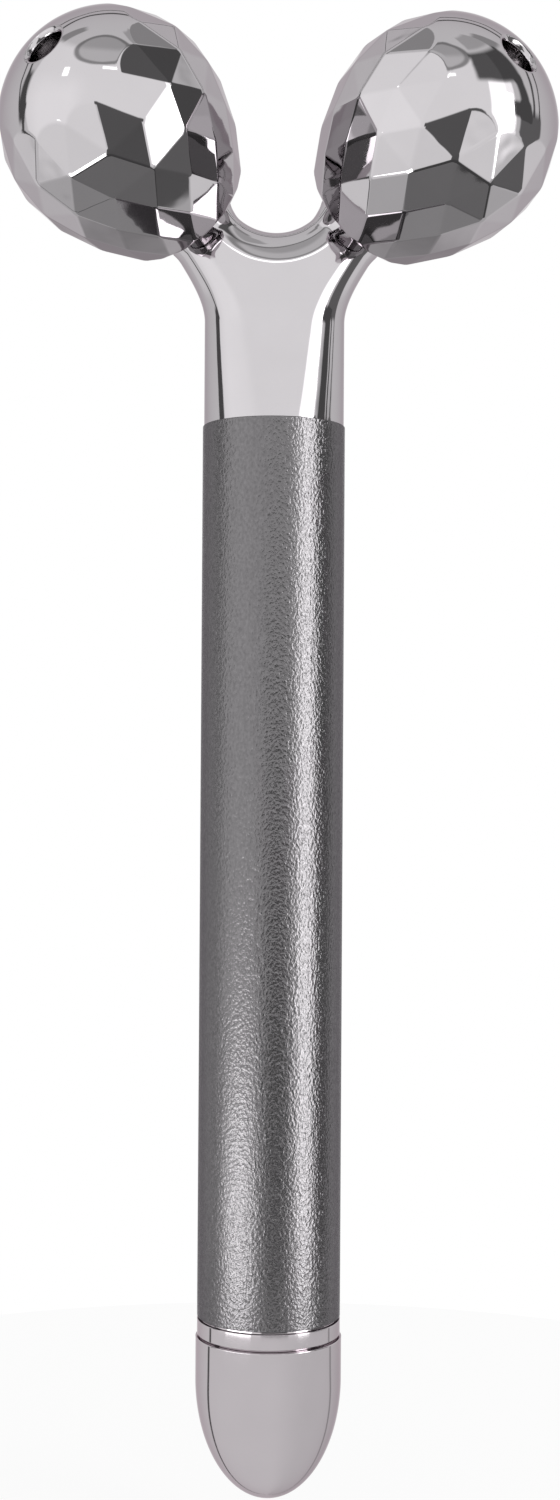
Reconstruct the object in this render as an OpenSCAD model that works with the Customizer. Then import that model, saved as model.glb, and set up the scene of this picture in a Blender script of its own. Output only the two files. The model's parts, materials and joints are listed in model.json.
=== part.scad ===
// Facial toning wand: two faceted rollers on a forked head, over a round handle that holds one
// AA cell and a small vibration motor. The cap at the lower end unscrews and works the motor.
// Frame: the axis of the handle is Z, its lower end is z = 0, the rollers are up and lean to -Y.

/* [Handle] */
// Outer diameter of the handle sleeve
sleeve_d = 18; // [17.8:0.1:20]
// Wall of the handle sleeve
sleeve_wall = 1; // [0.7:0.1:1]
// Length of the handle sleeve
sleeve_len = 112; // [105:1:130]

/* [Battery] */
// Diameter of the cell
cell_d = 14.5; // [14:0.1:14.5]
// Length of the cell, without its raised pole
cell_len = 49.5; // [45:0.5:52]
// Height of the cell's raised pole
cell_nub_h = 1; // [0.6:0.1:1.5]
// How far the cell's lower end stands out of the sleeve
cell_drop = 4; // [3:0.5:5]
// Wall of the plastic tube around the cell
liner_wall = 0.5; // [0.4:0.1:0.6]

/* [Collar and end cap] */
// Height of the collar ring that shows between sleeve and cap
collar_h = 2.5; // [1.5:0.5:4]
// How deep the collar goes into the sleeve
collar_seat = 9; // [7:1:12]
// Length of the collar's screw thread
thread_len = 6.5; // [5:0.5:7]
// Pitch of the screw thread
thread_pitch = 1.25; // [1:0.25:1.5]
// Depth of the thread
thread_depth = 0.3; // [0.2:0.05:0.35]
// Wall of the cap outside the thread
cap_wall = 0.75; // [0.75:0.05:0.9]
// Length of the end cap
cap_len = 20.3; // [19.5:0.1:26]
// Length of the cap's rounded nose
nose_len = 15; // [12:0.5:17]
// How far the cap stands out past the sleeve, on the radius
cap_swell = 0.18; // [0.1:0.02:0.2]

/* [Fork] */
// How far the neck's radius is inside the sleeve's
neck_step = 0.15; // [0.1:0.05:0.4]
// Radius of the two arms
arm_r = 4.45; // [4.2:0.05:4.6]
// Radius of the neck's rounded shoulders, under the arms
shoulder_r = 4.9; // [4.7:0.05:5.1]
// Height of the saddle between the arms, above the sleeve
saddle_h = 24.6; // [23.5:0.1:27]
// Radius of the saddle's curve
saddle_r = 7; // [6.5:0.1:8]
// Sideways reach of each arm, out to its elbow
elbow_x = 10.05; // [9.8:0.05:10.6]
// Radius of the rounded elbow
elbow_r = 4.6; // [4.5:0.05:4.8]

/* [Rollers] */
// Diameter of a roller over its facet corners
roller_d = 28; // [27:0.5:29]
// Facets around a roller
facet_count = 15; // [13:1:18]
// Distance between the rows of facet corners, along the axle
facet_row = 4.6; // [4.5:0.05:4.7]
// How much thinner the roller is at its inner row than at its middle, on the radius
inner_taper = 4.7; // [4.3:0.1:4.9]
// Wall of the roller shell
roller_wall = 2.2; // [2:0.1:2.5]
// Distance from the elbow to the middle of the roller
roller_reach = 17.25; // [17:0.05:18]
// Sideways splay of the axles from upright, in front view
axle_splay = 50; // [46:0.5:53]
// Forward lean of the axles
axle_lean = 41; // [38:0.5:44]
// Diameter of the axle pin in the arm
axle_d = 4; // [3.6:0.1:4.2]
// Diameter of the axle pin at its outer journal
journal_d = 3; // [2.6:0.1:3.2]
// Diameter of the screw recess in the roller's outer end
recess_d = 4.6; // [4.5:0.1:5]

/* [Motor] */
// Diameter of the motor
motor_d = 12; // [11:0.5:12]
// Length of the motor's steel can
motor_len = 17.6; // [15:0.1:20]
// Diameter of the motor's shaft
shaft_d = 2; // [1.5:0.1:2.4]
// Radius of the eccentric weight
weight_r = 4.6; // [3.8:0.1:4.7]
// Length of the eccentric weight
weight_len = 8; // [5:0.5:8]

/* [Fits] */
// Radial clearance of a turning fit
run_gap = 0.05; // [0.03:0.01:0.08]
// Radial clearance of a pressed or glued fit
seat_gap = 0.02; // [0.01:0.01:0.03]
// Clearance between end faces that turn past each other
end_gap = 0.15; // [0.1:0.05:0.2]

/* [Hidden] */
$fn = 64;

// Cuts run this far past the faces that they break through
past = 1;

// Handle
sleeve_r = sleeve_d / 2;
bore_r = sleeve_r - sleeve_wall;
liner_gap = 0.08;
liner_r = bore_r - liner_gap;
cell_r = cell_d / 2;
cell_z = -cell_drop;
cell_top = cell_z + cell_len;
nub_r = 2.7;
nub_top = cell_top + cell_nub_h;

// Cell contacts and leads
contact_h = 0.4;
contact_r = 4;
contact_z = nub_top + seat_gap;
bulkhead_z = contact_z + contact_h + seat_gap;
bulkhead_h = 2;
bulkhead_top = bulkhead_z + bulkhead_h;
tab_r = 0.9;
tab_x = 2.5;
tab_h = 1.2;
strip_w = 2.4;
strip_t = 0.3;
strip_x = liner_r - liner_wall;
strip_z = collar_seat + liner_gap;
strip_rise = 3;
strip_top = bulkhead_top + strip_rise;
strip_slot_gap = 0.2;
lead_r = 0.5;
lead_joint_r = 0.6;
lead_start = 0.5;
lead_bend_low = 8;
lead_bend_high = 2;

// Collar, thread and cap
cell_gap = 0.1;
collar_bore_r = cell_r + cell_gap;
cap_r = sleeve_r + cap_swell;
cap_rim_z = -collar_h;
tip_z = cap_rim_z - cap_len;
nose_z = tip_z + nose_len;
cap_bore_r = cap_r - cap_wall;
thread_r = cap_bore_r - run_gap;
thread_end_z = cap_rim_z - thread_len;
thread_spare = 1;
cap_bore_z = thread_end_z - thread_spare;
plate_h = 0.5;
plate_drop = 4;
plate_z = thread_end_z - plate_drop;
plate_bore_r = 7;
plate_r = plate_bore_r - run_gap;
cap_hollow_r = 5.6;
cap_hollow_h = 3.4;
nose_steps = 18;
seal_section_r = 0.32;
seal_drop = 0.6;
seal_z = cap_rim_z - seal_drop;
seal_r = thread_r - seal_section_r;
groove_depth = 2 * seal_section_r + seat_gap;
thread_drop = 1.1;
first_thread_z = seal_z - thread_drop;

// Battery spring
spring_wire_r = 0.35;
spring_r = 3.6;
spring_turns = 4;
spring_steps = 14;
spring_sides = 6;
spring_z = plate_z + plate_h + spring_wire_r + seat_gap;
spring_rise = cell_z - seat_gap - spring_wire_r - spring_z;

// Motor, from its rear up
motor_r = motor_d / 2;
neck_seat = 12;
neck_z = sleeve_len;
motor_sink = 1.9;
motor_top = neck_z - motor_sink;
motor_z = motor_top - motor_len;
rear_cap_h = 2;
rear_cap_z = motor_z - rear_cap_h;
rear_cap_step = 0.1;
rear_cap_r = motor_r - rear_cap_step;
rear_cap_plug_h = 1.2;
can_wall = 0.4;
can_boss_r = 2.5;
can_boss_h = 1.2;
shaft_r = shaft_d / 2;
magnet_t = 0.9;
magnet_r = motor_r - can_wall - seat_gap;
magnet_end_space = 2.5;
magnet_z = motor_z + magnet_end_space;
magnet_top = motor_top - magnet_end_space;
magnet_slot_w = 2;
rotor_gap = 0.3;
rotor_r = magnet_r - magnet_t - rotor_gap;
rotor_inset = 0.5;
rotor_z = magnet_z + rotor_inset;
rotor_top = magnet_top - rotor_inset;
holder_floor = 2.2;
holder_z = rear_cap_z - seat_gap - holder_floor;
holder_gap = 0.2;
holder_top = neck_z - neck_seat - holder_gap;
motor_gap = 0.12;
motor_fit_r = motor_r + motor_gap;
weight_lift = 1;
weight_z = motor_top + can_boss_h + weight_lift;
weight_top = weight_z + weight_len;
weight_hub_wall = 0.8;
weight_room_gap = 0.6;
weight_room_r = weight_r + weight_room_gap;
weight_room_top = weight_top + 2 * weight_room_gap;
shaft_tail = 2.7;
shaft_z = rotor_z - shaft_tail;
shaft_hole_spare = 0.3;
shaft_tip = 0.5;
shaft_top = weight_top + shaft_tip;
lead_hole_gap = 0.3;
lead_hole_r = lead_r + lead_hole_gap;

// Fork
neck_r = sleeve_r - neck_step;
spigot_r = bore_r - seat_gap;
neck_rim_h = 0.3;
shoulder_drop = 5.1;
bend_z = neck_z + saddle_h + saddle_r;
bend_r = saddle_r + arm_r;
// The arms are one arc, which ends at the two elbows
bend_angle = asin(elbow_x / bend_r);
elbow_z = bend_z - bend_r * cos(bend_angle);

// Along an axle, 0 is the middle of the roller and plus is outward
roller_r = roller_d / 2;
outer_row = 2 * facet_row;
inner_row = -3 * facet_row;
end_bevel = 0.8;
inner_end = inner_row - end_bevel;
inner_end_r = roller_r - inner_taper - end_bevel;
taper_power = 1.8;
dome_lap = 0.15;
dome_step = 0.03;
dome_r = roller_r + dome_step;
boss_r = 4.3;
boss_h = 0.25;
boss_end = -roller_reach + elbow_r + boss_h;
washer_h = 0.5;
washer_r = 4;
mouth_r = 5.2;
disc_r = 7.4;
disc_web = 1.6;
disc_lift = 0.1;
bush_low = boss_end + washer_h + end_gap;
disc_inset = 0.3;
disc_web_z = bush_low + disc_lift;
disc_web_top = disc_web_z + disc_web;
axle_r = axle_d / 2;
journal_r = journal_d / 2;
bush_wall = 1.25;
inner_bush_r = axle_r + run_gap + bush_wall;
inner_bush_len = 6.5;
disc_hub_wall = 1.4;
axle_spare = 0.4;
axle_step = bush_low + inner_bush_len + axle_spare;
outer_bush_wall = 1.6;
outer_bush_r = journal_r + run_gap + outer_bush_wall;
outer_bush_len = 5.3;
outer_bush_top = 8.5;
post_wall = 1.4;
journal_end = outer_bush_top + end_gap;
axle_sink = 2.75;
axle_root = -roller_reach - axle_sink;
axle_hole_spare = 0.2;
recess_r = recess_d / 2;
recess_chamfer = 0.4;
hollow_r = roller_r - roller_wall;
screw_head_gap = 0.12;
screw_head_r = recess_r - screw_head_gap;
screw_head_h = 1.3;
screw_shank_r = 0.8;
screw_len = 5.5;
screw_slot_w = 0.6;
screw_slot_l = 2.6;
screw_slot_deep = 0.7;
screw_hole_spare = 1;

// Radius of the ring of facet corners at height a along the axle: a ball on the outer half, and a
// slimmer taper on the inner half
function row_r(a) = a >= 0
    ? sqrt(roller_r * roller_r - a * a)
    : roller_r - inner_taper * pow(a / inner_row, taper_power);

// Ring k of facet corners, from the outermost (0) to the inner end; every second ring is turned
// by half a facet
function ring_corners(k) = [
    for (i = [0 : facet_count - 1])
        let (
            a = k < 6 ? outer_row - k * facet_row : inner_end,
            r = k < 6 ? row_r(a) : inner_end_r,
            turn = -90 + (i + (k % 2 == 0 ? 0.5 : 0)) * 360 / facet_count
        )
        [r * cos(turn), r * sin(turn), a]
];

// The two triangles between corner i of ring k and the next ring
function facet_pair(k, i) =
    let (
        n = facet_count,
        here = k * n + i,
        next = k * n + (i + 1) % n,
        below = (k + 1) * n + i,
        below_next = (k + 1) * n + (i + 1) % n
    )
    k % 2 == 0
        ? [[here, next, below_next], [here, below_next, below]]
        : [[here, next, below], [next, below_next, below]];

// Point j of ring i of a wire coiled round Z
function coil_point(i, j) =
    let (
        turn = i * 360 / spring_steps,
        round = j * 360 / spring_sides,
        r = spring_r + spring_wire_r * cos(round)
    )
    [
        r * cos(turn),
        r * sin(turn),
        spring_rise * i / (spring_turns * spring_steps) + spring_wire_r * sin(round)
    ];

// Puts its children on the axle of one side: side is 1 for the right, -1 for the left
module on_axle(side) {
    mirror([side < 0 ? 1 : 0, 0, 0])
        translate([elbow_x, 0, elbow_z])
            rotate([0, axle_splay, 0])
                rotate([axle_lean, 0, 0])
                    translate([0, 0, roller_reach])
                        children();
}

// A ring about Z
module ring(outer, inner, low, high) {
    difference() {
        translate([0, 0, low])
            cylinder(r = outer, h = high - low);
        translate([0, 0, low - past])
            cylinder(r = inner, h = high - low + 2 * past);
    }
}

// A disc or rod about Z
module disc(r, low, high) {
    translate([0, 0, low])
        cylinder(r = r, h = high - low);
}

// A round wire through the points of a route
module wire(route) {
    for (i = [0 : len(route) - 2]) {
        run = route[i + 1] - route[i];
        translate(route[i])
            rotate([0, acos(run[2] / norm(run)), atan2(run[1], run[0])])
                cylinder(r = lead_r, h = norm(run), $fn = 24);
        if (i > 0)
            translate(route[i])
                sphere(r = lead_joint_r, $fn = 24);
    }
}

// The roller's faceted body, before it is hollowed
module facet_body() {
    rings = 6;
    corners = [for (k = [0 : rings]) each ring_corners(k)];
    top = [for (i = [facet_count - 1 : -1 : 0]) i];
    bottom = [for (i = [0 : facet_count - 1]) rings * facet_count + i];
    sides = [for (k = [0 : rings - 1]) for (i = [0 : facet_count - 1]) each facet_pair(k, i)];
    polyhedron(points = corners, faces = concat([top], sides, [bottom]));
}

// The smooth dome outside the first row of facets
module dome() {
    intersection() {
        sphere(r = dome_r);
        disc(roller_r, outer_row - dome_lap, roller_r);
    }
}

// Hollow of the roller: a ball-shaped room round the outer bush's post
module roller_hollow() {
    difference() {
        sphere(r = hollow_r);
        disc(outer_bush_r + post_wall, outer_bush_top - outer_bush_len, roller_r);
    }
}

// Faceted shell of one roller
module roller_shell(side) {
    color("silver")
        on_axle(side)
            difference() {
                union() {
                    facet_body();
                    dome();
                }
                roller_hollow();
                disc(disc_r, inner_end - past, disc_web_top);
                disc(outer_bush_r, 0, outer_bush_top);
                disc(recess_r, 0, roller_r + past);
                translate([0, 0, sqrt(dome_r * dome_r - recess_r * recess_r) - recess_chamfer])
                    cylinder(r1 = recess_r, r2 = recess_r + 2 * recess_chamfer,
                             h = 2 * recess_chamfer);
            }
}

// Disc that closes the shell's inner end and carries the inner bush
module roller_closing_disc(side) {
    hub_r = inner_bush_r + disc_hub_wall;
    color("gainsboro")
        on_axle(side)
            difference() {
                union() {
                    disc(disc_r - seat_gap, inner_end + disc_inset, disc_web_top - seat_gap);
                    disc(hub_r, disc_web_z, bush_low + inner_bush_len);
                }
                disc(mouth_r, inner_end - past, disc_web_z);
                disc(inner_bush_r + seat_gap, disc_web_z - past, bush_low + inner_bush_len + past);
            }
}

// Plain bearing in the closing disc
module inner_bush(side) {
    color("goldenrod")
        on_axle(side)
            ring(inner_bush_r, axle_r + run_gap, bush_low, bush_low + inner_bush_len);
}

// Plain bearing in the shell's post
module outer_bush(side) {
    color("goldenrod")
        on_axle(side)
            ring(outer_bush_r - seat_gap, journal_r + run_gap,
                 outer_bush_top - outer_bush_len, outer_bush_top);
}

// Stepped axle pin, pressed into the fork
module axle_pin(side) {
    color("lightsteelblue")
        on_axle(side)
            difference() {
                union() {
                    disc(axle_r, axle_root, axle_step);
                    disc(journal_r, axle_root, journal_end);
                }
                disc(screw_shank_r + seat_gap, journal_end - screw_len - screw_hole_spare,
                     journal_end + past);
            }
}

// Washer between the fork's boss and the roller
module thrust_washer(side) {
    color("white")
        on_axle(side)
            ring(washer_r, axle_r + seat_gap, boss_end, boss_end + washer_h);
}

// Screw in the end of the pin, which keeps the roller on
module retaining_screw(side) {
    head = journal_end;
    color("dimgray")
        on_axle(side)
            difference() {
                union() {
                    disc(screw_head_r, head, head + screw_head_h);
                    disc(screw_shank_r, head - screw_len, head);
                }
                for (turn = [0, 90])
                    rotate([0, 0, turn])
                        translate([-screw_slot_l / 2, -screw_slot_w / 2,
                                   head + screw_head_h - screw_slot_deep])
                            cube([screw_slot_l, screw_slot_w, screw_slot_deep + past]);
            }
}

// The two arms as one bent bar, with rounded elbows and a boss for each axle
module fork_arms() {
    translate([0, 0, bend_z])
        rotate([90, 0, 0])
            rotate([0, 0, -90 - bend_angle])
                rotate_extrude(angle = 2 * bend_angle)
                    translate([bend_r, 0])
                        circle(r = arm_r);
    for (side = [-1, 1])
        on_axle(side) {
            translate([0, 0, -roller_reach])
                sphere(r = elbow_r);
            disc(boss_r, -roller_reach, boss_end);
        }
}

// Neck that flattens from the round handle to the rounded shoulders under the arms
module fork_neck() {
    hull() {
        translate([0, 0, neck_z])
            cylinder(r = neck_r, h = neck_rim_h, $fn = 48);
        for (side = [-1, 1])
            translate([side * (neck_r - shoulder_r), 0, neck_z + saddle_h - shoulder_drop])
                sphere(r = shoulder_r, $fn = 32);
    }
}

// Fork: spigot, neck and arms in one casting
module roller_fork() {
    color("silver")
        difference() {
            union() {
                disc(spigot_r, neck_z - neck_seat, neck_z);
                fork_neck();
                fork_arms();
            }
            disc(motor_fit_r, neck_z - neck_seat - past, motor_top + seat_gap);
            disc(weight_room_r, motor_top, weight_room_top);
            for (side = [-1, 1])
                on_axle(side)
                    disc(axle_r + seat_gap, axle_root - axle_hole_spare, boss_end + past);
        }
}

// Round metal sleeve of the handle
module handle_sleeve() {
    color("dimgray")
        ring(sleeve_r, bore_r, 0, sleeve_len);
}

// Plastic tube round the cell, with a bulkhead above it and a slot for the strip
module battery_tube() {
    color("whitesmoke")
        difference() {
            disc(liner_r, strip_z, strip_top);
            disc(liner_r - liner_wall, strip_z - past, bulkhead_z);
            disc(liner_r - liner_wall, bulkhead_top, strip_top + past);
            translate([tab_x, 0, 0])
                disc(tab_r + seat_gap, bulkhead_z - past, bulkhead_top + past);
            translate([-liner_r - past, -strip_w / 2 - strip_slot_gap, strip_z - past])
                cube([liner_r - strip_x + past + liner_wall, strip_w + 2 * strip_slot_gap,
                      strip_top - strip_z + 2 * past]);
        }
}

// One AA cell, pole up
module battery_cell() {
    color("darkslategray") {
        disc(cell_r, cell_z, cell_top);
        disc(nub_r, cell_top, nub_top);
    }
}

// Brass contact under the bulkhead, with a tab through it
module positive_contact() {
    color("goldenrod") {
        disc(contact_r, contact_z, contact_z + contact_h);
        translate([tab_x, 0, 0])
            disc(tab_r, contact_z, bulkhead_top + tab_h);
    }
}

// Brass strip that joins the collar to the motor's second lead
module negative_strip() {
    color("goldenrod")
        translate([-strip_x - strip_t, -strip_w / 2, strip_z])
            cube([strip_t, strip_w, strip_top - strip_z]);
}

// Lead from the cell's pole to the motor
module positive_lead() {
    color("firebrick")
        wire([
            [tab_x, 0, bulkhead_top + tab_h + seat_gap],
            [tab_x, 0, rear_cap_z - seat_gap]
        ]);
}

// Lead from the strip to the motor
module negative_lead() {
    lead_x = strip_x - lead_r - seat_gap;
    color("black")
        wire([
            [-lead_x, 0, bulkhead_top + lead_start],
            [-lead_x, 0, holder_z - lead_bend_low],
            [-tab_x, 0, holder_z - lead_bend_high],
            [-tab_x, 0, rear_cap_z - seat_gap]
        ]);
}

// Cup that holds the rear of the motor
module motor_holder() {
    color("gainsboro")
        difference() {
            disc(liner_r, holder_z, holder_top);
            disc(motor_fit_r, rear_cap_z - seat_gap, holder_top + past);
            for (side = [-1, 1])
                translate([side * tab_x, 0, 0])
                    disc(lead_hole_r, holder_z - past, rear_cap_z + past);
        }
}

// Steel can of the motor, with its front bearing boss
module motor_can() {
    color("silver")
        difference() {
            union() {
                disc(motor_r, motor_z, motor_top);
                disc(can_boss_r, motor_top, motor_top + can_boss_h);
            }
            disc(motor_r - can_wall, motor_z - past, motor_top - 2 * can_wall);
            disc(shaft_r + run_gap, motor_z, motor_top + can_boss_h + past);
        }
}

// Plastic rear of the motor, with its rear bearing
module motor_rear_cap() {
    color("white")
        difference() {
            union() {
                disc(rear_cap_r, rear_cap_z, motor_z);
                disc(magnet_r, motor_z, motor_z + rear_cap_plug_h);
            }
            disc(shaft_r + run_gap, shaft_z - shaft_hole_spare, motor_z + rear_cap_plug_h + past);
        }
}

// Two curved magnets inside the can
module motor_magnets() {
    color("dimgray")
        difference() {
            ring(magnet_r, magnet_r - magnet_t, magnet_z, magnet_top);
            translate([-magnet_slot_w / 2, -motor_r, magnet_z - past])
                cube([magnet_slot_w, motor_d, magnet_top - magnet_z + 2 * past]);
        }
}

// Wound rotor on the shaft
module motor_rotor() {
    color("peru")
        ring(rotor_r, shaft_r + seat_gap, rotor_z, rotor_top);
}

// Motor shaft
module motor_shaft() {
    color("lightsteelblue")
        disc(shaft_r, shaft_z, shaft_top);
}

// Half-round weight on the shaft, which shakes the head
module eccentric_weight() {
    color("darkgray")
        difference() {
            union() {
                intersection() {
                    disc(weight_r, weight_z, weight_top);
                    translate([-weight_r, 0, weight_z])
                        cube([2 * weight_r, weight_r, weight_len]);
                }
                disc(shaft_r + weight_hub_wall, weight_z, weight_top);
            }
            disc(shaft_r + seat_gap, weight_z - past, weight_top + past);
        }
}

// Collar: a spigot in the sleeve, the ring that shows, and the thread for the cap
module collar_ring() {
    color("silver")
        difference() {
            union() {
                disc(spigot_r, 0, collar_seat);
                disc(sleeve_r, cap_rim_z, 0);
                disc(thread_r, thread_end_z, cap_rim_z);
            }
            disc(collar_bore_r, thread_end_z - past, collar_seat + past);
            ring(thread_r + past, thread_r - groove_depth,
                 seal_z - seal_section_r - seat_gap, seal_z + seal_section_r + seat_gap);
            for (z = [first_thread_z : -thread_pitch : thread_end_z + thread_pitch / 2])
                translate([0, 0, z])
                    rotate_extrude()
                        polygon([
                            [thread_r - thread_depth, 0],
                            [thread_r + past, thread_pitch / 3 + past],
                            [thread_r + past, -thread_pitch / 3 - past]
                        ]);
        }
}

// Rubber ring that seals the cap
module seal_ring() {
    color("black")
        translate([0, 0, seal_z])
            rotate_extrude()
                translate([seal_r, 0])
                    circle(r = seal_section_r, $fn = 24);
}

// Screw cap with a rounded nose
module end_cap() {
    color("silver")
        difference() {
            rotate_extrude()
                polygon(concat(
                    [[0, cap_rim_z], [cap_r, cap_rim_z]],
                    [for (i = [0 : nose_steps])
                        [cap_r * cos(90 * i / nose_steps),
                         nose_z - nose_len * sin(90 * i / nose_steps)]]
                ));
            disc(cap_bore_r, cap_bore_z, cap_rim_z + past);
            disc(plate_bore_r, plate_z - run_gap, cap_rim_z + past);
            disc(cap_hollow_r, plate_z - cap_hollow_h, cap_rim_z + past);
        }
}

// Round contact plate in the cap
module contact_plate() {
    color("goldenrod")
        disc(plate_r, plate_z, plate_z + plate_h);
}

// Coil spring between the contact plate and the cell
module battery_spring() {
    steps = spring_turns * spring_steps;
    n = spring_sides;
    points = [for (i = [0 : steps]) for (j = [0 : n - 1]) coil_point(i, j)];
    walls = [
        for (i = [0 : steps - 1])
            for (j = [0 : n - 1])
                let (a = i * n + j, b = i * n + (j + 1) % n)
                each [[a, a + n, b], [b, a + n, b + n]]
    ];
    first = [for (j = [0 : n - 1]) j];
    last = [for (j = [n - 1 : -1 : 0]) steps * n + j];
    color("lightsteelblue")
        translate([0, 0, spring_z])
            polyhedron(points = points, faces = concat([first], walls, [last]));
}

roller_fork();
roller_shell(-1);  // left_roller_shell
roller_closing_disc(-1);  // left_roller_closing_disc
inner_bush(-1);  // left_inner_bush
outer_bush(-1);  // left_outer_bush
axle_pin(-1);  // left_axle_pin
thrust_washer(-1);  // left_thrust_washer
retaining_screw(-1);  // left_retaining_screw
roller_shell(1);  // right_roller_shell
roller_closing_disc(1);  // right_roller_closing_disc
inner_bush(1);  // right_inner_bush
outer_bush(1);  // right_outer_bush
axle_pin(1);  // right_axle_pin
thrust_washer(1);  // right_thrust_washer
retaining_screw(1);  // right_retaining_screw
handle_sleeve();
battery_tube();
battery_cell();
positive_contact();
negative_strip();
positive_lead();
negative_lead();
motor_holder();
motor_can();
motor_rear_cap();
motor_magnets();
motor_rotor();
motor_shaft();
eccentric_weight();
collar_ring();
seal_ring();
end_cap();
contact_plate();
battery_spring();
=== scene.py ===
"""Looks of a facial toning wand: faceted chrome rollers on a forked chrome head, a pebbled
gunmetal handle, and a screw cap of softer chrome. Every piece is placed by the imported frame.
"""

import json
import math

import bpy
import numpy as np
from bpy.props import FloatProperty, FloatVectorProperty, IntProperty
from mathutils import Matrix, Vector


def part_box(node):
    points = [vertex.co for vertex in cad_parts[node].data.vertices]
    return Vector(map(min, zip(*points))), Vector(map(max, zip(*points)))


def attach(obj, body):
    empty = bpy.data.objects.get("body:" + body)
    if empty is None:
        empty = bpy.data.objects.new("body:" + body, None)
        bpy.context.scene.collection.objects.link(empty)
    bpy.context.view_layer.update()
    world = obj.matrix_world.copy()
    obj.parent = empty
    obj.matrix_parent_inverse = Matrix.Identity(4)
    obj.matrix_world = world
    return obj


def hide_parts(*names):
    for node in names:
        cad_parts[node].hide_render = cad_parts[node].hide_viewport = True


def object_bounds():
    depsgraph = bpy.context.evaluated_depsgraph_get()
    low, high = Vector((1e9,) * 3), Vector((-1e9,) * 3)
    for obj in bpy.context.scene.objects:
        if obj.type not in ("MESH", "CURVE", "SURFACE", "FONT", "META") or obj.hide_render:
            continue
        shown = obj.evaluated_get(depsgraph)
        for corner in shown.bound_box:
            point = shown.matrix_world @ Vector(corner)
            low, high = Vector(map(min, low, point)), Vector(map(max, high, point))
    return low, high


bl_info = {
    "name": "Facial toning wand",
    "version": (1, 0, 0),
    "blender": (4, 5, 0),
    "location": "View3D > Sidebar > Wand",
    "description": "Builds the visible pieces, finishes, lights and camera of a toning wand",
    "category": "Object",
}

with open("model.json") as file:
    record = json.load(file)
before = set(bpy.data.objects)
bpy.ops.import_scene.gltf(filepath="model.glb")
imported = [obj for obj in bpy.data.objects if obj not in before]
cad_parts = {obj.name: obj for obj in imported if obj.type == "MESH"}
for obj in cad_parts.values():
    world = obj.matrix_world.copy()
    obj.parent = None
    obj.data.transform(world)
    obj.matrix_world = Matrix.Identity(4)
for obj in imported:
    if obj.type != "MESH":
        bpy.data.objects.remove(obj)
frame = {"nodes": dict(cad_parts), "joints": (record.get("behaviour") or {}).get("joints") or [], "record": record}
CAD_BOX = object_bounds()
MM = 0.001
UP = np.array([0.0, 0.0, 1.0])
ORIGIN = np.zeros(3)
PRESS_GAP = 0.02 * MM
ROLLER_RINGS = 6


def joint_of(name):
    """Joint of the frame with that name"""
    return next(j for j in frame["joints"] if j["name"] == name)


SLEEVE_LOW, SLEEVE_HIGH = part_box("handle_sleeve")
COLLAR_LOW, COLLAR_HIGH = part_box("collar_ring")
CAP_LOW, CAP_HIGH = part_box("end_cap")
SEAL_LOW, SEAL_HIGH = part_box("seal_ring")
FORK_LOW, FORK_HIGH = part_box("roller_fork")
SPIN = joint_of("right_roller_spin")


# ---------------------------------------------------------------- sizes and colours


def size(text, default):
    """Length in metres that a user may change"""
    return FloatProperty(name=text, description=text, default=default, min=0.0, max=1.0,
                         unit="LENGTH", precision=5)


def paint(text, default):
    """Linear colour that a user may change"""
    return FloatVectorProperty(name=text, description=text, default=default, size=3,
                               subtype="COLOR", min=0.0, max=1.0)


class WandSizes(bpy.types.PropertyGroup):
    """Sizes of the wand's visible pieces"""

    roller_r: size("Radius of a roller over its facet corners", 14 * MM)
    roller_wall: size("Wall of a roller's shell", 2.2 * MM)
    facet_row: size("Distance between the rows of facet corners", 4.6 * MM)
    inner_taper: size("How much thinner a roller is at its inner row", 4.7 * MM)
    facet_count: IntProperty(name="Facets", description="Facets around a roller", default=15,
                             min=9, max=24)
    facet_edge: size("Width of the softened edge between facets", 0.3 * MM)
    recess_r: size("Radius of the screw recess", 2.3 * MM)
    recess_chamfer: size("Chamfer of the screw recess", 0.4 * MM)
    mouth_r: size("Radius of the opening at a roller's inner end", 7.4 * MM)
    saddle_h: size("Height of the saddle over the sleeve", 24.6 * MM)
    saddle_r: size("Radius of the saddle's curve", 7 * MM)
    arm_r: size("Radius of the fork's arms", 4.45 * MM)
    elbow_x: size("Sideways reach of an arm", 10.05 * MM)
    elbow_r: size("Radius of an elbow", 4.5 * MM)
    root_r: size("Fillet between the neck's side and an arm", 4.5 * MM)
    neck_step: size("How far the neck's radius is inside the sleeve's", 0.15 * MM)
    axle_r: size("Radius of an axle pin", 2.02 * MM)
    seam_depth: size("Depth of the fine seams over and under the collar", 0.42 * MM)
    bore_r: size("Radius of the sleeve's bore", 8 * MM)
    thread_pitch: size("Pitch of the cap's thread", 1.25 * MM)
    thread_depth: size("Depth of the cap's thread", 0.45 * MM)
    nose_len: size("Length of the cap's rounded nose", 15 * MM)
    skin_pitch: size("Grid on which the fork's skin is worked out", 0.3 * MM)


class WandPaints(bpy.types.PropertyGroup):
    """Colours of the wand's finishes"""

    chrome: paint("Chrome plate", (0.49, 0.472, 0.487))
    satin_chrome: paint("Softer chrome of the collar and cap", (0.5, 0.468, 0.487))
    gunmetal: paint("Handle sleeve", (0.15, 0.145, 0.15))
    steel: paint("Bare steel", (0.5, 0.5, 0.52))
    dark_steel: paint("Plated screw", (0.4, 0.385, 0.385))
    bronze: paint("Sintered bronze", (0.42, 0.25, 0.1))
    brass: paint("Contact brass", (0.62, 0.42, 0.15))
    copper: paint("Winding", (0.55, 0.2, 0.08))
    ferrite: paint("Magnets", (0.05, 0.05, 0.055))
    jacket: paint("Cell jacket", (0.02, 0.045, 0.06))
    grey_plastic: paint("Moulded grey plastic", (0.36, 0.36, 0.37))
    white_plastic: paint("Moulded white plastic", (0.72, 0.72, 0.7))
    red: paint("Red lead", (0.35, 0.012, 0.01))
    black: paint("Black rubber", (0.012, 0.012, 0.012))


# ---------------------------------------------------------------- meshes from arrays


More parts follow.
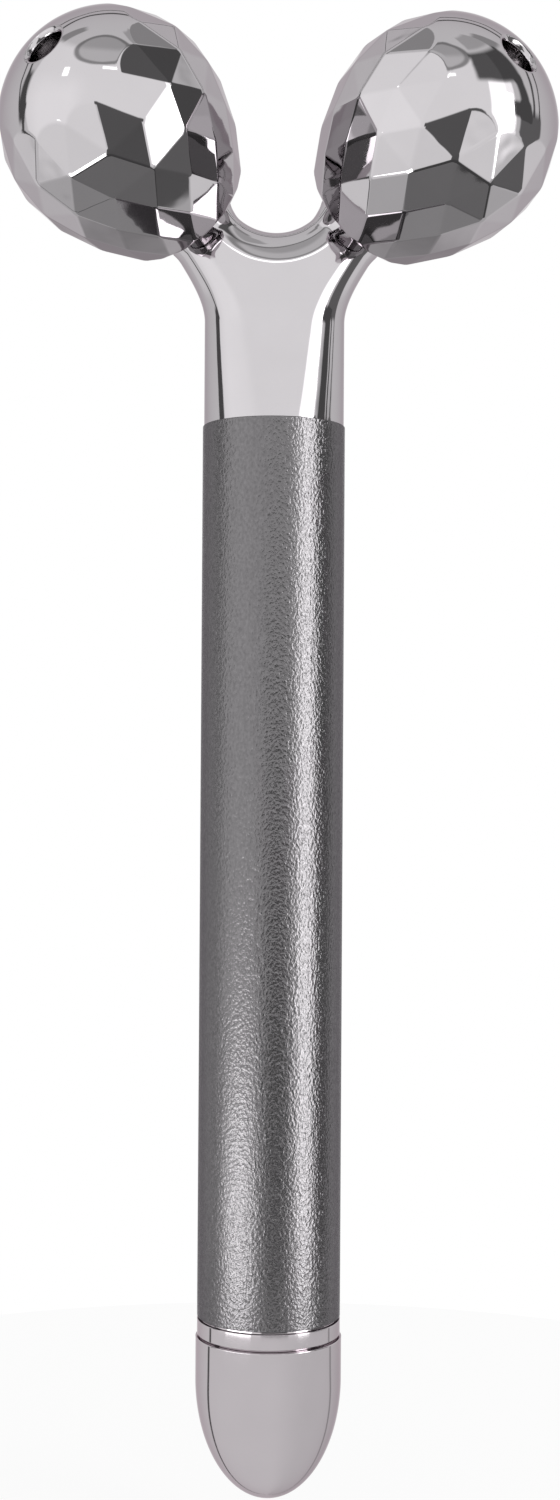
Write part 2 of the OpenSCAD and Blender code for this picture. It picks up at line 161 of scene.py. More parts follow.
def turns_outwards(points, faces):
    """Whether the faces of a closed surface turn outwards: the sum, over the triangles of each
    face's fan, of the volumes that they span with the origin is then more than 0"""
    total = 0.0
    for group in faces:
        first = points[group[:, 0]]
        for k in range(1, group.shape[1] - 1):
            second, third = points[group[:, k]], points[group[:, k + 1]]
            total += np.einsum("ij,ij->", first, np.cross(second, third))
    return total > 0


def add_mesh(name, points, faces, normals=None):
    """Object at the origin from points in metres and a list of face arrays, each array holding
    faces with one number of corners, turned outwards. Where given, normals are a list of arrays
    like that of the faces, with a unit normal for each corner."""
    if not turns_outwards(points, faces):
        faces = [group[:, ::-1] for group in faces]
        normals = normals and [group[:, ::-1] for group in normals]
    counts = np.concatenate([np.full(len(group), group.shape[1]) for group in faces])
    starts = np.concatenate([[0], np.cumsum(counts)[:-1]])
    mesh = bpy.data.meshes.new(name)
    mesh.vertices.add(len(points))
    mesh.vertices.foreach_set("co", points.astype(np.float32).ravel())
    mesh.loops.add(int(counts.sum()))
    mesh.loops.foreach_set(
        "vertex_index", np.concatenate([group.ravel() for group in faces]).astype(np.int32))
    mesh.polygons.add(len(counts))
    mesh.polygons.foreach_set("loop_start", starts.astype(np.int32))
    mesh.polygons.foreach_set("use_smooth", np.ones(len(counts), bool))
    mesh.update(calc_edges=True)
    if mesh.validate():
        raise ValueError(name + " has faces that Blender had to mend")
    if normals:
        mesh.normals_split_custom_set(np.concatenate([group.reshape(-1, 3) for group in normals]))
    piece = bpy.data.objects.new(name, mesh)
    bpy.context.scene.collection.objects.link(piece)
    return piece


def grid_quads(rows, columns, ring=False):
    """Quads between neighbouring points of a grid whose columns close on themselves, and whose
    rows do so too where ring is set"""
    index = np.arange(rows * columns).reshape(rows, columns)
    across = np.roll(index, -1, axis=1)
    if ring:
        below, below_across = np.roll(index, -1, axis=0), np.roll(across, -1, axis=0)
    else:
        index, below = index[:-1], index[1:]
        across, below_across = across[:-1], across[1:]
    return np.stack([index, across, below_across, below], -1).reshape(-1, 4)


def about_z(radius, turn, height):
    """Points at a radius, a turn and a height about the Z axis, as one array"""
    return np.stack(np.broadcast_arrays(radius * np.cos(turn), radius * np.sin(turn), height), -1)


def grid_normals(grid, ring):
    """Unit normals of a grid of points: the cross product of its two central differences"""
    if ring:
        down = np.roll(grid, -1, axis=0) - np.roll(grid, 1, axis=0)
    else:
        down = np.gradient(grid, axis=0)
    along = np.roll(grid, -1, axis=1) - np.roll(grid, 1, axis=1)
    normal = np.cross(along, down)
    return normal / np.maximum(np.linalg.norm(normal, axis=2, keepdims=True), 1e-12)


def rounded(corners, radius, steps=4):
    """Outline through (radius, height) corners, each inner corner replaced by an arc: the arc
    touches both sides at the radius times the tangent of half the turn"""
    corners = np.asarray(corners, float)
    out = [corners[:1]]
    for before, corner, after in zip(corners[:-2], corners[1:-1], corners[2:]):
        back, on = before - corner, after - corner
        back_len, on_len = np.linalg.norm(back), np.linalg.norm(on)
        back, on = back / back_len, on / on_len
        half = math.acos(float(np.clip(back @ on, -1, 1))) / 2
        if half > math.radians(89):
            out.append(corner[None])
            continue
        reach = min(radius / math.tan(half), 0.45 * back_len, 0.45 * on_len)
        centre = corner + (back + on) / np.linalg.norm(back + on) * reach / math.cos(half)
        start, end = corner + back * reach - centre, corner + on * reach - centre
        spread = math.pi - 2 * half
        t = np.linspace(0, 1, steps + 1)[:, None]
        out.append(centre + (start * np.sin((1 - t) * spread) + end * np.sin(t * spread))
                   / math.sin(spread))
    out.append(corners[-1:])
    return np.concatenate(out)


def turned(name, outline, turns=128, ring=True, wall=None):
    """Surface of revolution of a (radius, height) outline about Z. wall(radius, height, turn)
    may give each point another radius. An open outline's two ends are closed by flat faces."""
    outline = np.asarray(outline, float)
    turn = np.arange(turns) * 2 * np.pi / turns
    radius, height = outline[:, :1], outline[:, 1:]
    if wall is not None:
        radius = wall(radius, height, turn[None])
    grid = about_z(radius, turn, height)
    faces = [grid_quads(len(outline), turns, ring)]
    if not ring:
        last = (len(outline) - 1) * turns + np.arange(turns)
        faces += [np.arange(turns)[None, ::-1], last[None]]
    points = grid.reshape(-1, 3)
    normals = grid_normals(grid, ring).reshape(-1, 3)
    if not turns_outwards(points, faces):
        normals = -normals
    return add_mesh(name, points, faces, [normals[group] for group in faces])


# ---------------------------------------------------------------- skin of a smooth function


def slope_of(field, points, step):
    """Unit slope of a field at some points, by central differences, and its length"""
    slope = np.stack([
        (field(points + step * axis) - field(points - step * axis)) / (2 * step)
        for axis in np.eye(3)
    ], -1)
    length = np.maximum(np.linalg.norm(slope, axis=-1, keepdims=True), 1e-6)
    return slope / length, length


def skin(field, low, high, pitch):
    """Points, quads and corner normals of the surface on which field is 0.

    Where a grid edge crosses the surface, the crossing has a place and the field's slope there,
    which together are a plane. Each grid cell with crossings has one point, at the least sum of
    squared distances to their planes, drawn a little to their middle, so it sits on a crease or
    corner where there is one. Each crossed edge has one quad, between the four cells round it.
    A corner's normal is the slope at the point, or a little way into the quad if the two differ
    by more than a crease's angle."""
    step, crease = pitch / 25, math.cos(math.radians(14))
    to_middle, into_quad = 0.02, 0.3
    axes = [np.arange(a - 2 * pitch, b + 2 * pitch, pitch) for a, b in zip(low, high)]
    corner = np.stack(np.meshgrid(*axes, indexing="ij"), -1)
    value = field(corner)
    shape = tuple(n - 1 for n in value.shape)
    cells = int(np.prod(shape))
    planes, sides = np.zeros((cells, 3, 3)), np.zeros((cells, 3))
    middle, count = np.zeros((cells, 3)), np.zeros(cells)
    rings = []
    for axis in range(3):
        along = np.eye(3, dtype=int)[axis]
        first, second = (np.take(value, range(k, value.shape[axis] - 1 + k), axis) for k in (0, 1))
        at = np.argwhere((first < 0) != (second < 0))
        start, end = corner[tuple(at.T)], corner[tuple((at + along).T)]
        near, far = value[tuple(at.T)][:, None], value[tuple((at + along).T)][:, None]
        place = start + (end - start) * near / (near - far)
        for _ in range(3):
            here = field(place)[:, None]
            inner = (here < 0) == (near < 0)
            start, near = np.where(inner, place, start), np.where(inner, here, near)
            end, far = np.where(inner, end, place), np.where(inner, far, here)
            gap = np.where(np.abs(near - far) < 1e-15, 1.0, near - far)
            place = start + (end - start) * np.clip(near / gap, 0.02, 0.98)
        normal = slope_of(field, place, step)[0]
        sideways = [np.eye(3, dtype=int)[k] for k in range(3) if k != axis]
        around = [at, at - sideways[0], at - sideways[0] - sideways[1], at - sideways[1]]
        around = np.stack([np.ravel_multi_index(cell.T, shape) for cell in around], -1)
        for cell in around.T:
            np.add.at(planes, cell, normal[:, :, None] * normal[:, None])
            np.add.at(sides, cell, normal * (normal * place).sum(1, keepdims=True))
            np.add.at(middle, cell, place)
            np.add.at(count, cell, 1)
        turn_back = (value[tuple(at.T)] < 0) == (axis == 1)
        around[turn_back] = around[turn_back][:, ::-1]
        rings.append(around)
    used = np.flatnonzero(count)
    middle = middle[used] / count[used, None]
    pull = to_middle * count[used, None]
    planes = planes[used] + pull[:, None] * np.eye(3)
    points = np.linalg.solve(planes, (sides[used] + pull * middle)[..., None])[..., 0]
    cell_low = np.stack(np.unravel_index(used, shape), -1) * pitch + [axis[0] for axis in axes]
    points = np.clip(points, cell_low, cell_low + pitch)
    for _ in range(2):
        slope, length = slope_of(field, points, step)
        points = points - slope * np.clip(field(points)[:, None] / length, -pitch / 4, pitch / 4)
    number = np.zeros(cells, int)
    number[used] = np.arange(len(used))
    quads = number[np.concatenate(rings)]
    at_point = slope_of(field, points, step)[0][quads]
    corners = points[quads]
    inward = corners + into_quad * (corners.mean(axis=1, keepdims=True) - corners)
    in_quad = slope_of(field, inward, step)[0]
    smooth = (at_point * in_quad).sum(-1, keepdims=True) > crease
    return points, [quads], [np.where(smooth, at_point, in_quad)]


def soft_min(a, b, blend):
    """The lesser of two fields, with the crease between them rounded over the blend"""
    mix = np.clip(0.5 + 0.5 * (b - a) / blend, 0, 1)
    return b + (a - b) * mix - blend * mix * (1 - mix)


def fillet(a, b, radius):
    """Union of two fields whose inner corner has an arc of that radius"""
    gap = np.hypot(np.maximum(radius - a, 0), np.maximum(radius - b, 0))
    return np.maximum(radius, np.minimum(a, b)) - gap


def rod(points, base, axis, radius, start, end):
    """Distance to a straight round rod from start to end along an axis through base"""
    off = points - base
    along = off @ axis
    across = np.sqrt(np.maximum((off ** 2).sum(-1) - along ** 2, 0))
    return np.maximum(across - radius, np.maximum(start - along, along - end))


# ---------------------------------------------------------------- shader nodes


class Socket:
    """Output of a shader node that takes part in arithmetic; each operation adds a node"""

    def __init__(self, shader, out):
        self.shader, self.out = shader, out

    def math(self, operation, *terms):
        return self.shader.node("ShaderNodeMath", {"operation": operation}, *terms)

    def __add__(self, other):
        return self.math("ADD", self, other)

    def __sub__(self, other):
        return self.math("SUBTRACT", self, other)

    def __rsub__(self, other):
        return self.math("SUBTRACT", other, self)

    def __mul__(self, other):
        return self.math("MULTIPLY", self, other)

    def __truediv__(self, other):
        return self.math("DIVIDE", self, other)

    def clamp(self):
        return self.math("MINIMUM", self.math("MAXIMUM", self, 0.0), 1.0)

    __radd__, __rmul__ = __add__, __mul__


class Shader:
    """Node tree of one material or of the world"""

    def __init__(self, owner):
        owner.use_nodes = True
        self.tree = owner.node_tree
        self.tree.nodes.clear()

    def node(self, kind, settings=None, *values, output=0, **named):
        """Adds a node, makes its settings first, then fills or links its inputs by number or, with
        underscores for spaces, by name, and gives the chosen output"""
        made = self.tree.nodes.new(kind)
        for key, value in (settings or {}).items():
            if key == "stops":
                ramp = made.color_ramp.elements
                while len(ramp) < len(value):
                    ramp.new(1.0)
                for stop, (position, colour) in zip(ramp, value):
                    stop.position, stop.color = position, colour
            else:
                setattr(made, key, value)
        inputs = list(enumerate(values))
        inputs += [(key.replace("_", " "), value) for key, value in named.items()]
        for key, value in inputs:
            if isinstance(value, Socket):
                self.tree.links.new(value.out, made.inputs[key])
            elif value is not None:
                made.inputs[key].default_value = value
        return Socket(self, made.outputs[output]) if made.outputs else None

    def noise(self, scale, detail=2.0, stretch=(1, 1, 1)):
        """Noise over the object's own coordinates, in features per metre"""
        place = self.node("ShaderNodeTexCoord", output="Object")
        place = self.node("ShaderNodeMapping", None, place, None, None, stretch)
        return self.node("ShaderNodeTexNoise", None, place, Scale=scale, Detail=detail,
                         output="Fac")

    def ramp(self, value, *stops):
        """Grey ramp through (position, level) stops"""
        stops = [(place, (level, level, level, 1)) for place, level in stops]
        return self.node("ShaderNodeValToRGB", {"stops": stops}, value)

    def window(self, value, low, high, soft):
        """1 between low and high, 0 outside, with soft edges"""
        up = self.node("ShaderNodeMapRange", {"interpolation_type": "SMOOTHSTEP"},
                       value, low - soft, low + soft)
        down = self.node("ShaderNodeMapRange", {"interpolation_type": "SMOOTHSTEP"},
                         value, high - soft, high + soft)
        return up * (1 - down)

    def patch(self, azimuth, elevation, card):
        """A card's rectangle of directions, times its strength"""
        left, right, side_soft, low, high, end_soft, strength = card
        return (self.window(azimuth, left, right, side_soft)
                * self.window(elevation, low, high, end_soft) * strength)

    def azimuth(self, x, y):
        """Degrees from the camera's side, more than 0 to the right"""
        return x.math("ARCTAN2", x, y * -1.0) * (180 / math.pi)

    def rays(self):
        """Whether a ray is the camera's, whether it comes off metal, and whether either of these
        or glass sees the surface"""
        kinds = ("Is Camera Ray", "Is Glossy Ray", "Is Transmission Ray")
        path, glossy, through = (self.node("ShaderNodeLightPath", output=kind) for kind in kinds)
        return path, glossy, (path + glossy + through).clamp()

    def tint(self, fac, first, second):
        """Colour between two linear colours, on the Mix node's colour sockets: 6, 7 and out 2"""
        number_sockets = [None] * 5
        return self.node("ShaderNodeMix", {"data_type": "RGBA"}, fac, *number_sockets,
                         (*first, 1), (*second, 1), output=2)

    def bump(self, height, distance, strength=1.0, normal=None):
        """Normal bent by a height, in metres"""
        return self.node("ShaderNodeBump", None, Strength=strength, Distance=distance,
                         Height=height, Normal=normal)

    def surface(self, **sockets):
        """Principled surface of the material, wired to its output"""
        shader = self.node("ShaderNodeBsdfPrincipled", None, **sockets)
        self.node("ShaderNodeOutputMaterial", None, shader)


FINISHES = {}


def finish(slot):
    """Decorator: the function fills the shader of one of the record's finish slots"""

    def keep(make):
        material = bpy.data.materials.new(slot)
        FINISHES[slot] = (material, make)
        return make

    return keep


def dress(piece, slot):
    """Gives a piece the finish of a slot, in every one of its material slots"""
    material, make = FINISHES[slot]
    if not material.use_nodes:
        make(Shader(material), bpy.context.scene.wand_paints)
    if piece.data.materials:
        for k in range(len(piece.data.materials)):
            piece.data.materials[k] = material
    else:
        piece.data.materials.append(material)


def shades(colour, dark, light=1.0):
    """A darker and a lighter shade of a colour"""
    return tuple(c * dark for c in colour), tuple(min(1.0, c * light) for c in colour)


def plated(shader, colour, edge, low, high, wave):
    """Plated metal: a hair of unevenness in gloss and level, as plating has over polished metal.
    Edge is the tint of its grazing reflections, low and high its roughness, and wave the height
    of its unevenness."""
    cloud = shader.noise(220, 3)
    dark, light = shades(colour, 0.97, 1.03)
    shader.surface(
        Base_Color=shader.tint(cloud, dark, light),
        Metallic=1.0,
        Roughness=shader.ramp(cloud, (0.3, low), (0.75, high)),
        Specular_Tint=(*edge, 1),
        Normal=shader.bump(shader.noise(260, 1), wave),
    )


@finish("chrome_plate")
def chrome_plate(shader, paints):
    plated(shader, paints.chrome, (0.62, 0.57, 0.6), 0.035, 0.06, 0.02 * MM)


@finish("roller_chrome")
def roller_chrome(shader, paints):
    plated(shader, paints.chrome, (0.62, 0.57, 0.6), 0.03, 0.05, 0.035 * MM)


@finish("satin_chrome")
def satin_chrome(shader, paints):
    plated(shader, paints.satin_chrome, (0.66, 0.6, 0.63), 0.05, 0.08, 0.01 * MM)


@finish("gunmetal_sleeve")
def gunmetal_sleeve(shader, paints):
    """Dark lacquered metal with fine pebbles, about 0.3 mm across and a little longer upwards"""
    pebble = shader.noise(3100, 2, (1, 1, 0.75))
    swell = shader.noise(1300, 1, (1, 1, 0.6))
    dark, light = shades(paints.gunmetal, 0.66, 1.36)
    rough = shader.bump(swell, 0.015 * MM, 0.5)
    shader.surface(
        Base_Color=shader.tint(pebble, dark, light),
        Metallic=0.9,
        Roughness=shader.ramp(pebble, (0.3, 0.2), (0.7, 0.15)),
        Specular_Tint=(0.42, 0.4, 0.42, 1),
        Normal=shader.bump(pebble, 0.09 * MM, 1.0, rough),
    )


def turned_steel(shader, colour, low, high, metallic=1.0, ring_depth=0.004 * MM):
    """Metal with the fine rings that a lathe leaves, and roughness from low to high"""
    rings = shader.noise(2600, 1, (0.15, 0.15, 1))
    dark, light = shades(colour, 0.85, 1.1)
    shader.surface(
        Base_Color=shader.tint(rings, dark, light),
        Metallic=metallic,
        Roughness=shader.ramp(rings, (0.3, low), (0.7, high)),
        Normal=shader.bump(rings, ring_depth),
    )


@finish("plain_steel")
def plain_steel(shader, paints):
    turned_steel(shader, paints.steel, 0.2, 0.34)


@finish("dark_screw")
def dark_screw(shader, paints):
    turned_steel(shader, paints.dark_steel, 0.2, 0.28, metallic=0.6, ring_depth=0.0006 * MM)


@finish("bearing_bronze")
def bearing_bronze(shader, paints):
    turned_steel(shader, paints.bronze, 0.38, 0.5)


@finish("contact_brass")
def contact_brass(shader, paints):
    turned_steel(shader, paints.brass, 0.22, 0.36)


@finish("winding_copper")
def winding_copper(shader, paints):
    """Wire wound along the rotor, as fine ribs"""
    wire = shader.noise(5200, 1, (1, 1, 0.04))
    dark, light = shades(paints.copper, 0.6, 1.2)
    shader.surface(Base_Color=shader.tint(wire, dark, light), Metallic=0.85, Roughness=0.34,
                   Normal=shader.bump(wire, 0.03 * MM))


@finish("magnet_iron")
def magnet_iron(shader, paints):
    grain = shader.noise(4000, 3)
    dark, light = shades(paints.ferrite, 0.7, 1.4)
    shader.surface(Base_Color=shader.tint(grain, dark, light), Roughness=0.62,
                   Normal=shader.bump(grain, 0.01 * MM))


def moulded(shader, colour, grain_size, low, high, metallic=0.0, coat=0.0):
    """Moulded or coated surface with a fine, even grain, and roughness from low to high"""
    grain = shader.noise(grain_size, 3)
    dark, light = shades(colour, 0.93, 1.05)
    shader.surface(Base_Color=shader.tint(grain, dark, light), Metallic=metallic,
                   Roughness=shader.ramp(grain, (0.3, low), (0.7, high)), Coat_Weight=coat,
                   Normal=shader.bump(grain, 0.006 * MM))


@finish("grey_plastic")
def grey_plastic(shader, paints):
    moulded(shader, paints.grey_plastic, 3000, 0.42, 0.55)


@finish("white_plastic")
def white_plastic(shader, paints):
    moulded(shader, paints.white_plastic, 3000, 0.4, 0.52)


@finish("cell_jacket")
def cell_jacket(shader, paints):
    moulded(shader, paints.jacket, 1500, 0.25, 0.35, metallic=0.3, coat=0.4)


@finish("red_lead")
def red_lead(shader, paints):
    moulded(shader, paints.red, 2500, 0.4, 0.5)


@finish("black_rubber")
def black_rubber(shader, paints):
    moulded(shader, paints.black, 3500, 0.5, 0.65)


# ---------------------------------------------------------------- fork


def fork_skin(sizes):
    """The fork as the surface of one smooth function.

    Seen from the front it has an outline: the neck's two upright sides, the round saddle over it,
    and the underside of each arm, which is an arc about the saddle's own centre. A fillet joins
    side and underside. Its half thickness goes, a little early, from the neck's radius down to
    the arms' radius, and its edge is fully rounded: a point is on the surface where its distance
    in from the outline, kept to the half thickness, and its depth make one circle. Balls and
    short bosses make the elbows. The spigot is added and the motor's bore and the pin holes are
    cut last."""
    top, base = SLEEVE_HIGH.z, FORK_LOW.z
    neck_r = SLEEVE_HIGH.x - sizes.neck_step
    bend_z = top + sizes.saddle_h + sizes.saddle_r
    bend_r = sizes.saddle_r + sizes.arm_r
    reach = math.asin(sizes.elbow_x / bend_r)
    elbow = np.array([sizes.elbow_x, 0, bend_z - bend_r * math.cos(reach)])
    axis = np.array(SPIN["axis"])
    boss_r, boss_end = 4.3 * MM, sizes.elbow_r + 0.25 * MM
    boss_blend, elbow_blend, early = 1.5 * MM, 1.2 * MM, 0.2
    spigot_r, overlap = sizes.bore_r - PRESS_GAP, 0.5 * MM
    motor_r, motor_end = 6.12 * MM, top - 1.88 * MM
    room_r, room_end = 5.2 * MM, top + 9.5 * MM
    pin_depth, past = 2.95 * MM, 1 * MM

    def field(points):
        p = points.copy()
        p[..., 0] = np.abs(p[..., 0])
        x, y, z = np.moveaxis(p, -1, 0)
        across = np.hypot(x, z - bend_z)
        underside = across - (bend_r + sizes.arm_r)
        outline = np.maximum(sizes.saddle_r - across,
                             fillet(underside, x - neck_r, sizes.root_r))
        rise = np.clip((z - top) / sizes.saddle_h, 0, 1)
        thick = neck_r + (sizes.arm_r - neck_r) * (1 + early - early * rise) * rise
        bar = np.hypot(np.maximum(outline + thick, 0), y) - thick
        bar = np.maximum(bar, (x - elbow[0]) * math.cos(reach) + (z - elbow[2]) * math.sin(reach))
        bar = np.maximum(bar, top - z)
        ball = np.linalg.norm(p - elbow, axis=-1) - sizes.elbow_r
        boss = rod(p, elbow, axis, boss_r, 0, boss_end)
        body = soft_min(bar, soft_min(ball, boss, boss_blend), elbow_blend)
        body = np.minimum(body, rod(p, ORIGIN, UP, spigot_r, base, top + overlap))
        body = np.maximum(body, -rod(p, ORIGIN, UP, motor_r, base - past, motor_end))
        body = np.maximum(body, -rod(p, ORIGIN, UP, room_r, motor_end - past, room_end))
        return np.maximum(body, -rod(p, elbow, axis, sizes.axle_r, -pin_depth, 2 * boss_end))

    return skin(field, FORK_LOW, FORK_HIGH, sizes.skin_pitch)


class WAND_OT_fork(bpy.types.Operator):
    """Adds the chrome fork: neck, saddle, arms and elbows in one casting"""

    bl_idname = "wand.fork"
    bl_label = "Fork"

    def execute(self, context):
        points, faces, normals = fork_skin(context.scene.wand_sizes)
        fork = add_mesh("fork_casting", points, faces, normals)
        dress(fork, "chrome_plate")
        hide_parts("roller_fork")
        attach(fork, "handle")
        return {"FINISHED"}


# ---------------------------------------------------------------- rollers


def axle_frame():
    """Centre of the right roller, and the three directions of its own frame as rows: across in
    the plane of the fork, then the third, then outward along the axle"""
    outward = np.array(SPIN["axis"], float)
    outward /= np.linalg.norm(outward)
    across = np.array([outward[2], 0, -outward[0]])
    across /= np.linalg.norm(across)
    return np.array(SPIN["pos_m"]), np.stack([across, np.cross(outward, across), outward])


def place_on_axle(points, side):
    """Points of the roller's own frame, put on the right (1) or left (-1) axle"""
    centre, directions = axle_frame()
    placed = points @ directions + centre
    return placed * [side, 1, 1]


def roller_shell(sizes, arc_steps=8, dome_rows=18):
    """Points and faces of a roller, about its middle with the axle along +Z.

    Rings of facet corners lie on a ball on the outer half, and on a taper of power 1.8 on the
    inner half; every second ring is turned by half a facet. A facet of the outermost row runs on
    to the arc in which its plane cuts the ball, and the dome is a grid between those arcs and the
    recess. Inside there is a lathe-turned hollow round the post of the outer bush."""
    n = sizes.facet_count
    taper_power, hollow_steps, chamfer_drop = 1.8, 28, 1.4
    ball_r = sizes.roller_r
    outer_row, inner_row = 2 * sizes.facet_row, -3 * sizes.facet_row
    bevel = 0.8 * MM
    height = np.append(outer_row - np.arange(ROLLER_RINGS) * sizes.facet_row, inner_row - bevel)
    taper = ball_r - sizes.inner_taper * np.clip(height / inner_row, 0, None) ** taper_power
    radius = np.where(height >= 0, np.sqrt(ball_r ** 2 - np.maximum(height, 0) ** 2), taper)
    radius[-1] = ball_r - sizes.inner_taper - bevel
    ring = np.arange(ROLLER_RINGS + 1)[:, None]
    turn = np.radians(-90 + (np.arange(n) + np.where(ring % 2 == 0, 0.5, 0)) * 360 / n)
    corners = about_z(radius[:, None], turn, height[:, None]).reshape(-1, 3)

    here = np.arange(n)
    across = (here + 1) % n
    faces = []
    for k in range(ROLLER_RINGS):
        a, b, c, d = k * n + here, k * n + across, (k + 1) * n + here, (k + 1) * n + across
        if k % 2:
            faces += [np.stack([a, b, c], -1), np.stack([b, d, c], -1)]
        elif k:
            faces += [np.stack([a, b, d], -1), np.stack([a, d, c], -1)]
        else:
            faces.append(np.stack([a, d, c], -1))

    # Arcs of the outermost facets: the circle through three corners, from the first to the second
    first, second, third = corners[here], corners[across], corners[n + across]
    normal = np.cross(second - first, third - first)
    normal /= np.linalg.norm(normal, axis=1, keepdims=True)
    middle = normal * np.einsum("ij,ij->i", normal, first)[:, None]
    out, side = first - middle, np.cross(normal, first - middle)
    swing = np.arctan2(np.einsum("ij,ij->i", second - middle, side),
                       np.einsum("ij,ij->i", second - middle, out))
    steps = np.arange(1, arc_steps) / arc_steps
    angle = swing[:, None] * steps
    arcs = (middle[:, None] + out[:, None] * np.cos(angle)[..., None]
            + side[:, None] * np.sin(angle)[..., None])

    # Columns: each facet's first corner and the points of its arc, all the way round
    columns = n * arc_steps
    column_point = np.concatenate([first[:, None], arcs], axis=1).reshape(-1, 3)
    base = len(corners)
    arc_index = base + (here[:, None] * (arc_steps - 1) + np.arange(arc_steps - 1))
    column_index = np.concatenate([here[:, None], arc_index], axis=1).reshape(-1)
    faces.append(np.concatenate([here[:, None], arc_index, across[:, None],
                                 (n + across)[:, None]], axis=1))

    # Dome: from each column's polar angle to that of the recess' rim
    around = np.arctan2(column_point[:, 1], column_point[:, 0])
    polar = np.arccos(column_point[:, 2] / ball_r)
    rim_turn = np.arcsin((sizes.recess_r + sizes.recess_chamfer) / ball_r)
    t = (np.arange(1, dome_rows + 1) / dome_rows)[:, None]
    polar = polar * (1 - t) + rim_turn * t
    round_turn = np.radians(-90 + (np.arange(columns) / arc_steps + 0.5) * 360 / n)
    drift = (round_turn - around + np.pi) % (2 * np.pi) - np.pi
    around = around + drift * t
    dome = about_z(ball_r * np.sin(polar), around, ball_r * np.cos(polar))

    # Turned inside: recess, seat of the outer bush, its post, the hollow and the inner mouth
    hollow_r = ball_r - sizes.roller_wall
    rim_z = math.sqrt(ball_r ** 2 - (sizes.recess_r + sizes.recess_chamfer) ** 2)
    post_r, post_low, bush_r, bush_top = 4.6 * MM, 3.2 * MM, 3.2 * MM, 8.5 * MM
    hollow_start = math.asin(post_r / hollow_r)
    hollow_end = math.pi - math.asin(sizes.mouth_r / hollow_r)
    sweep = np.linspace(hollow_start, hollow_end, hollow_steps)
    profile = np.concatenate([
        [[sizes.recess_r, rim_z - sizes.recess_chamfer * chamfer_drop],
         [sizes.recess_r, bush_top], [bush_r, bush_top], [bush_r, post_low],
         [post_r, post_low]],
        np.stack([hollow_r * np.sin(sweep), hollow_r * np.cos(sweep)], -1),
        [[sizes.mouth_r, height[-1]]],
    ])
    inside = about_z(profile[:, :1], round_turn, profile[:, 1:])

    rows = np.concatenate([dome, inside])
    start = base + n * (arc_steps - 1)
    row_index = start + np.arange(rows.shape[0] * columns).reshape(-1, columns)
    row_index = np.concatenate([column_index[None], row_index])
    following = np.roll(row_index, -1, axis=1)
    faces.append(np.stack([row_index[:-1], row_index[1:], following[1:], following[:-1]],
                          -1).reshape(-1, 4))

    # Flat end round the mouth: each facet's edge and the piece of the mouth's circle under it.
    # The last ring of corners is turned like the first, so its corners lie on the same columns.
    mouth = row_index[-1].reshape(n, arc_steps)
    mouth = np.concatenate([mouth, np.roll(mouth[:, :1], -1, axis=0)], axis=1)
    end = ROLLER_RINGS * n
    faces.append(np.concatenate([(end + here)[:, None], (end + across)[:, None], mouth[:, ::-1]],
                                axis=1))
    points = np.concatenate([corners, arcs.reshape(-1, 3), rows.reshape(-1, 3)])
    return points, faces


class WAND_OT_rollers(bpy.types.Operator):
    """Adds the two faceted roller shells, with softened edges between their facets"""

    bl_idname = "wand.rollers"
    bl_label = "Rollers"

    def execute(self, context):
        sizes = context.scene.wand_sizes
        points, faces = roller_shell(sizes)
        flattest_edge = math.radians(7)
        for side, name in ((-1, "left"), (1, "right")):
            shell = add_mesh(name + "_roller_facets", place_on_axle(points, side), faces)
            soften = shell.modifiers.new("edges", "BEVEL")
            soften.width = sizes.facet_edge
            soften.segments = 2
            soften.limit_method = "ANGLE"
            soften.angle_limit = flattest_edge
            soften.harden_normals = True
            dress(shell, "roller_chrome")
            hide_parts(name + "_roller_shell")
            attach(shell, name + "_roller")
        return {"FINISHED"}


class WAND_OT_screws(bpy.types.Operator):
    """Adds the domed cross-head screw in each roller's recess"""

    bl_idname = "wand.screws"
    bl_label = "Retaining screws"

    def execute(self, context):
        head_r, head_h = 2.18 * MM, 1.3 * MM
        seat, shank_r, length = 8.65 * MM, 0.8 * MM, 5.5 * MM
        slot_w, slot_deep, slot_reach, slot_taper = 0.42 * MM, 0.7 * MM, 1.05 * MM, 0.55
        dome_drop, overlap, pitch = 1.6 * MM, 0.3 * MM, 0.06 * MM

        def field(points):
            x, y, z = np.moveaxis(points, -1, 0)
            across = np.hypot(x, y)
            dome = np.hypot(across, z - seat + dome_drop) - (head_h + dome_drop)
            head = np.maximum(np.maximum(across - head_r, seat - z), dome)
            depth = seat + head_h - z
            reach = slot_reach * (1 - slot_taper * np.clip(depth / slot_deep, 0, 1))
            arms = np.minimum(np.maximum(np.abs(x) - slot_w / 2, np.abs(y) - reach),
                              np.maximum(np.abs(y) - slot_w / 2, np.abs(x) - reach))
            slot = np.maximum(arms, depth - slot_deep)
            shank = rod(points, ORIGIN, UP, shank_r, seat - length, seat + overlap)
            return np.maximum(np.minimum(head, shank), -slot)

        low = [-head_r, -head_r, seat - length]
        high = [head_r, head_r, seat + head_h]
        points, faces, normals = skin(field, low, high, pitch)
        directions = axle_frame()[1]
        for side, name in ((-1, "left"), (1, "right")):
            screw = add_mesh(name + "_cross_screw", place_on_axle(points, side), faces,
                             [normals[0] @ directions * [side, 1, 1]])
            dress(screw, "dark_screw")
            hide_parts(name + "_retaining_screw")
            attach(screw, "handle")
        return {"FINISHED"}


# ---------------------------------------------------------------- handle, collar and cap


